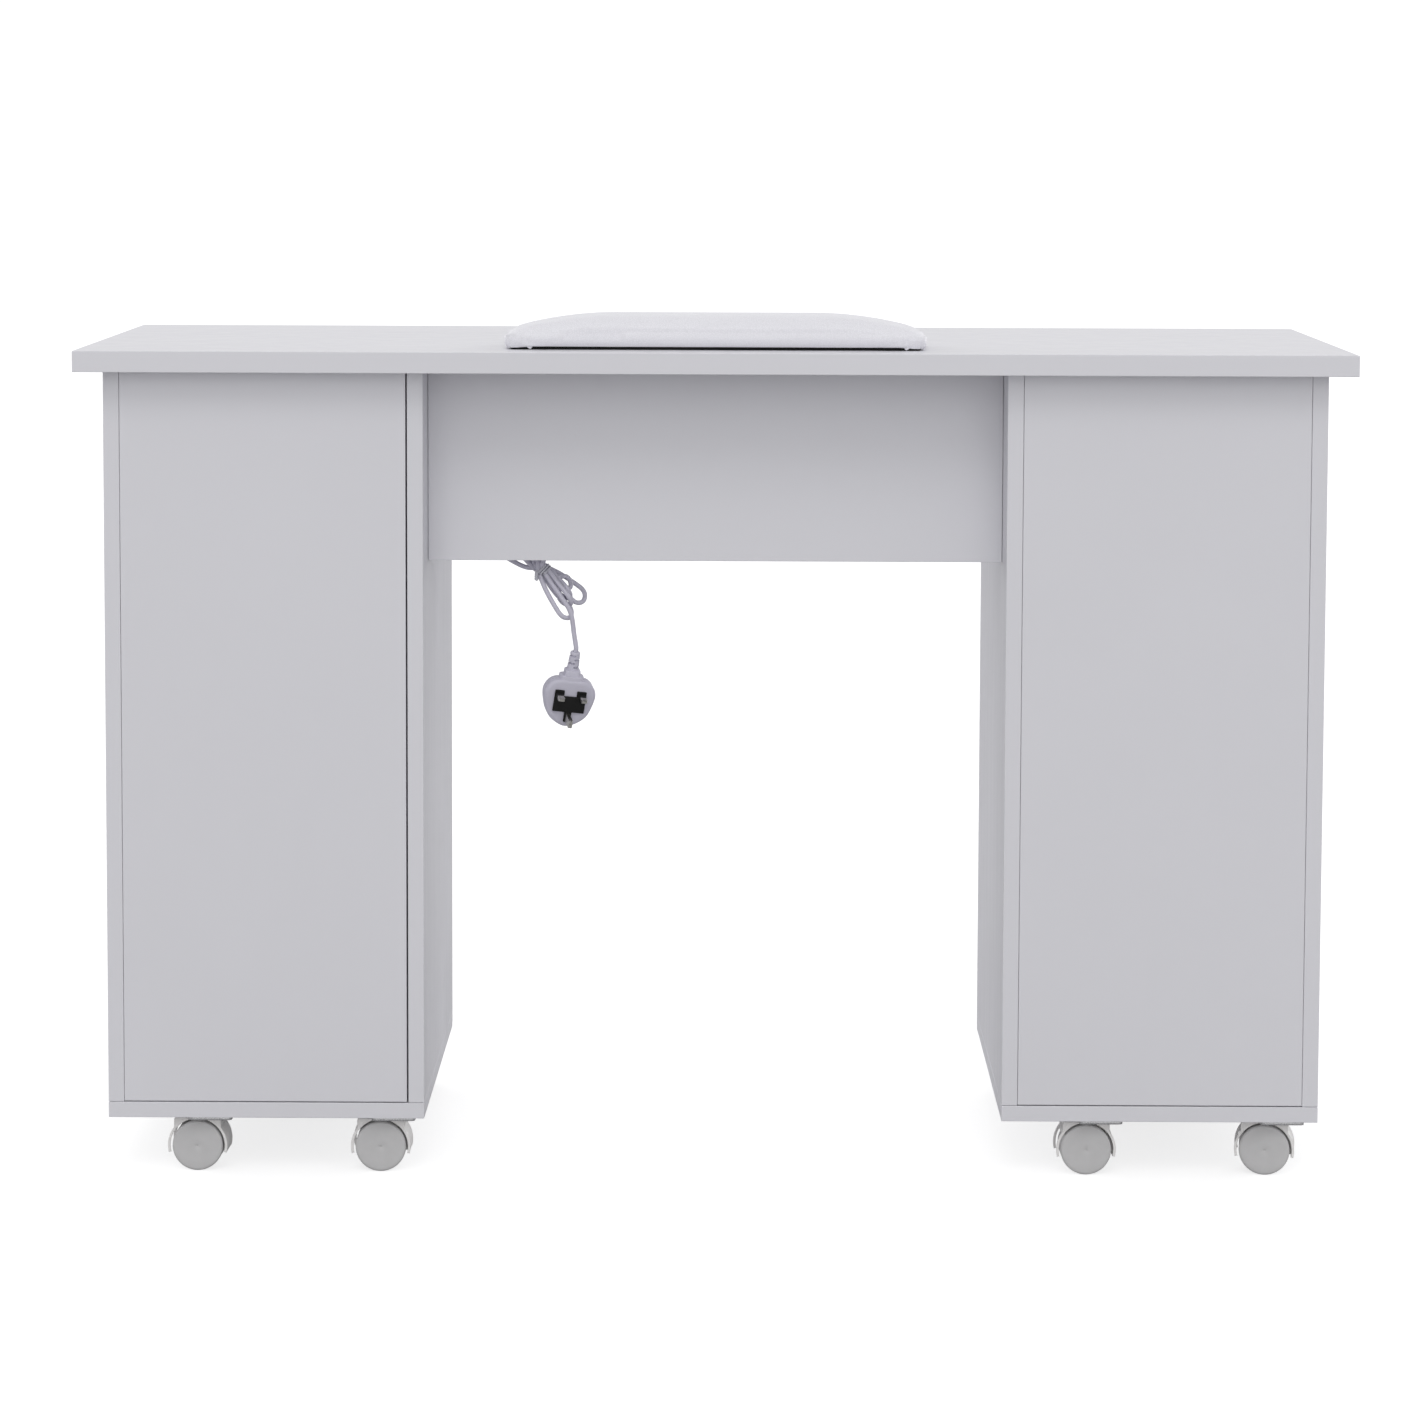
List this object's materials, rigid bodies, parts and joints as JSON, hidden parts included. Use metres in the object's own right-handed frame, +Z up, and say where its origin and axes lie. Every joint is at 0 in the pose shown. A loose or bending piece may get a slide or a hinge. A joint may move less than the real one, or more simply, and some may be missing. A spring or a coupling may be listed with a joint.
{
  "type": "manicure table",
  "caption": "White manicure table on pedestals, with a recessed modesty panel, a padded wrist rest, a downdraft fan, drawers, a door and swivel casters.",
  "frame": {"origin": "on the floor, under the middle of the tabletop", "axes": "+X along the table's length, to the right as the client sees it; +Y towards the technician, the side with the door and the drawers; +Z up"},
  "size_m": [1.2, 0.46, 0.8226],
  "materials": {
    "laminate": "satin white melamine laminate on board",
    "drawer_board": "matte white foil on board",
    "grey_plastic": "moulded grey plastic",
    "wheel_plastic": "moulded grey nylon",
    "white_plastic": "moulded white plastic",
    "black_plastic": "moulded black plastic",
    "black_board": "black painted board",
    "plated_steel": "zinc-plated steel",
    "white_leather": "soft white PU leather over foam",
    "flex": "soft white PVC"
  },
  "bodies": {
    "root": {"client_caster_1_plate": "plated_steel", "client_caster_2_plate": "plated_steel", "client_caster_3_plate": "plated_steel", "client_caster_4_plate": "plated_steel", "rear_caster_1_plate": "plated_steel", "rear_caster_2_plate": "plated_steel", "rear_caster_3_plate": "plated_steel", "rear_caster_4_plate": "plated_steel", "tabletop": "laminate", "modesty_panel": "laminate", "cabinet_shelf": "laminate", "left_outer_side_panel": "laminate", "left_inner_side_panel": "laminate", "left_floor_board": "laminate", "left_client_panel": "laminate", "right_outer_side_panel": "laminate", "right_inner_side_panel": "laminate", "right_floor_board": "laminate", "right_client_panel": "laminate", "lower_hinge": "plated_steel", "upper_hinge": "plated_steel", "fan_housing": "grey_plastic", "cord_strain_relief": "white_plastic", "cord_lead": "flex", "cord_hank": "flex", "cord_tail": "flex", "plug_body": "flex", "plug_pins": "black_plastic"},
    "client_caster_1_swivel": {"client_caster_1_hood": "grey_plastic"},
    "client_caster_1_wheelset": {"client_caster_1_wheels": "wheel_plastic"},
    "client_caster_2_swivel": {"client_caster_2_hood": "grey_plastic"},
    "client_caster_2_wheelset": {"client_caster_2_wheels": "wheel_plastic"},
    "client_caster_3_swivel": {"client_caster_3_hood": "grey_plastic"},
    "client_caster_3_wheelset": {"client_caster_3_wheels": "wheel_plastic"},
    "client_caster_4_swivel": {"client_caster_4_hood": "grey_plastic"},
    "client_caster_4_wheelset": {"client_caster_4_wheels": "wheel_plastic"},
    "rear_caster_1_swivel": {"rear_caster_1_hood": "grey_plastic"},
    "rear_caster_1_wheelset": {"rear_caster_1_wheels": "wheel_plastic"},
    "rear_caster_2_swivel": {"rear_caster_2_hood": "grey_plastic"},
    "rear_caster_2_wheelset": {"rear_caster_2_wheels": "wheel_plastic"},
    "rear_caster_3_swivel": {"rear_caster_3_hood": "grey_plastic"},
    "rear_caster_3_wheelset": {"rear_caster_3_wheels": "wheel_plastic"},
    "rear_caster_4_swivel": {"rear_caster_4_hood": "grey_plastic"},
    "rear_caster_4_wheelset": {"rear_caster_4_wheels": "wheel_plastic"},
    "door": {"door": "laminate", "door_knob": "plated_steel"},
    "lower_drawer": {"lower_drawer_front": "laminate", "lower_drawer_box": "drawer_board", "lower_drawer_knob": "plated_steel"},
    "middle_drawer": {"middle_drawer_front": "laminate", "middle_drawer_box": "drawer_board", "middle_drawer_knob": "plated_steel"},
    "upper_drawer": {"upper_drawer_front": "laminate", "upper_drawer_box": "drawer_board", "upper_drawer_knob": "plated_steel"},
    "wrist_rest": {"wrist_rest_cushion": "white_leather", "wrist_rest_base": "black_board"},
    "vent_grille": {"vent_grille": "white_plastic"},
    "impeller": {"impeller": "black_plastic"},
    "rocker_switch": {"rocker_switch": "black_plastic"}
  },
  "joints": [
    {"name": "client_caster_1_swivel", "type": "hinge", "parent": "root", "child": "client_caster_1_swivel", "pos_m": [-0.48, -0.168, 0.0553], "axis": [0, 0, 1], "continuous": true},
    {"name": "client_caster_1_roll", "type": "hinge", "parent": "client_caster_1_swivel", "child": "client_caster_1_wheelset", "pos_m": [-0.49299, -0.16755, 0.0242], "axis": [0.0349, 0.9994, 0], "continuous": true},
    {"name": "client_caster_2_swivel", "type": "hinge", "parent": "root", "child": "client_caster_2_swivel", "pos_m": [-0.305, -0.168, 0.0553], "axis": [0, 0, 1], "continuous": true},
    {"name": "client_caster_2_roll", "type": "hinge", "parent": "client_caster_2_swivel", "child": "client_caster_2_wheelset", "pos_m": [-0.318, -0.168, 0.0242], "axis": [0, 1, 0], "continuous": true},
    {"name": "client_caster_3_swivel", "type": "hinge", "parent": "root", "child": "client_caster_3_swivel", "pos_m": [0.37, -0.168, 0.0553], "axis": [0, 0, 1], "continuous": true},
    {"name": "client_caster_3_roll", "type": "hinge", "parent": "client_caster_3_swivel", "child": "client_caster_3_wheelset", "pos_m": [0.357, -0.16823, 0.0242], "axis": [-0.0175, 0.9998, 0], "continuous": true},
    {"name": "client_caster_4_swivel", "type": "hinge", "parent": "root", "child": "client_caster_4_swivel", "pos_m": [0.543, -0.168, 0.0553], "axis": [0, 0, 1], "continuous": true},
    {"name": "client_caster_4_roll", "type": "hinge", "parent": "client_caster_4_swivel", "child": "client_caster_4_wheelset", "pos_m": [0.53013, -0.16619, 0.0242], "axis": [0.1392, 0.9903, 0], "continuous": true},
    {"name": "rear_caster_1_swivel", "type": "hinge", "parent": "root", "child": "rear_caster_1_swivel", "pos_m": [-0.48, 0.154, 0.0553], "axis": [0, 0, 1], "continuous": true},
    {"name": "rear_caster_1_roll", "type": "hinge", "parent": "rear_caster_1_swivel", "child": "rear_caster_1_wheelset", "pos_m": [-0.49295, 0.15513, 0.0242], "axis": [0.0872, 0.9962, 0], "continuous": true},
    {"name": "rear_caster_2_swivel", "type": "hinge", "parent": "root", "child": "rear_caster_2_swivel", "pos_m": [-0.305, 0.154, 0.0553], "axis": [0, 0, 1], "continuous": true},
    {"name": "rear_caster_2_roll", "type": "hinge", "parent": "rear_caster_2_swivel", "child": "rear_caster_2_wheelset", "pos_m": [-0.31797, 0.15309, 0.0242], "axis": [-0.0698, 0.9976, 0], "continuous": true},
    {"name": "rear_caster_3_swivel", "type": "hinge", "parent": "root", "child": "rear_caster_3_swivel", "pos_m": [0.37, 0.154, 0.0553], "axis": [0, 0, 1], "continuous": true},
    {"name": "rear_caster_3_roll", "type": "hinge", "parent": "rear_caster_3_swivel", "child": "rear_caster_3_wheelset", "pos_m": [0.35701, 0.15355, 0.0242], "axis": [-0.0349, 0.9994, 0], "continuous": true},
    {"name": "rear_caster_4_swivel", "type": "hinge", "parent": "root", "child": "rear_caster_4_swivel", "pos_m": [0.543, 0.154, 0.0553], "axis": [0, 0, 1], "continuous": true},
    {"name": "rear_caster_4_roll", "type": "hinge", "parent": "rear_caster_4_swivel", "child": "rear_caster_4_wheelset", "pos_m": [0.53002, 0.15468, 0.0242], "axis": [0.0523, 0.9986, 0], "continuous": true},
    {"name": "door_hinge", "type": "hinge", "parent": "root", "child": "door", "pos_m": [-0.5795, 0.1892, 0.41], "axis": [0, 0, 1], "range_deg": [0, 105]},
    {"name": "lower_drawer_slide", "type": "slide", "parent": "root", "child": "lower_drawer", "axis": [0, 1, 0], "range_m": [0, 0.25]},
    {"name": "middle_drawer_slide", "type": "slide", "parent": "root", "child": "middle_drawer", "axis": [0, 1, 0], "range_m": [0, 0.25]},
    {"name": "upper_drawer_slide", "type": "slide", "parent": "root", "child": "upper_drawer", "axis": [0, 1, 0], "range_m": [0, 0.25]},
    {"name": "wrist_rest_lift_off", "type": "slide", "parent": "root", "child": "wrist_rest", "axis": [0, 0, 1], "range_m": [0, 0.06]},
    {"name": "vent_grille_lift_off", "type": "slide", "parent": "root", "child": "vent_grille", "axis": [0, 0, 1], "range_m": [0, 0.04]},
    {"name": "impeller_spin", "type": "hinge", "parent": "root", "child": "impeller", "pos_m": [0, 0.01, 0.73], "axis": [0, 0, 1], "continuous": true},
    {"name": "rocker_switch_tilt", "type": "hinge", "parent": "root", "child": "rocker_switch", "pos_m": [0.06, 0.0875, 0.741], "axis": [1, 0, 0], "range_deg": [0, 14]}
  ]
}
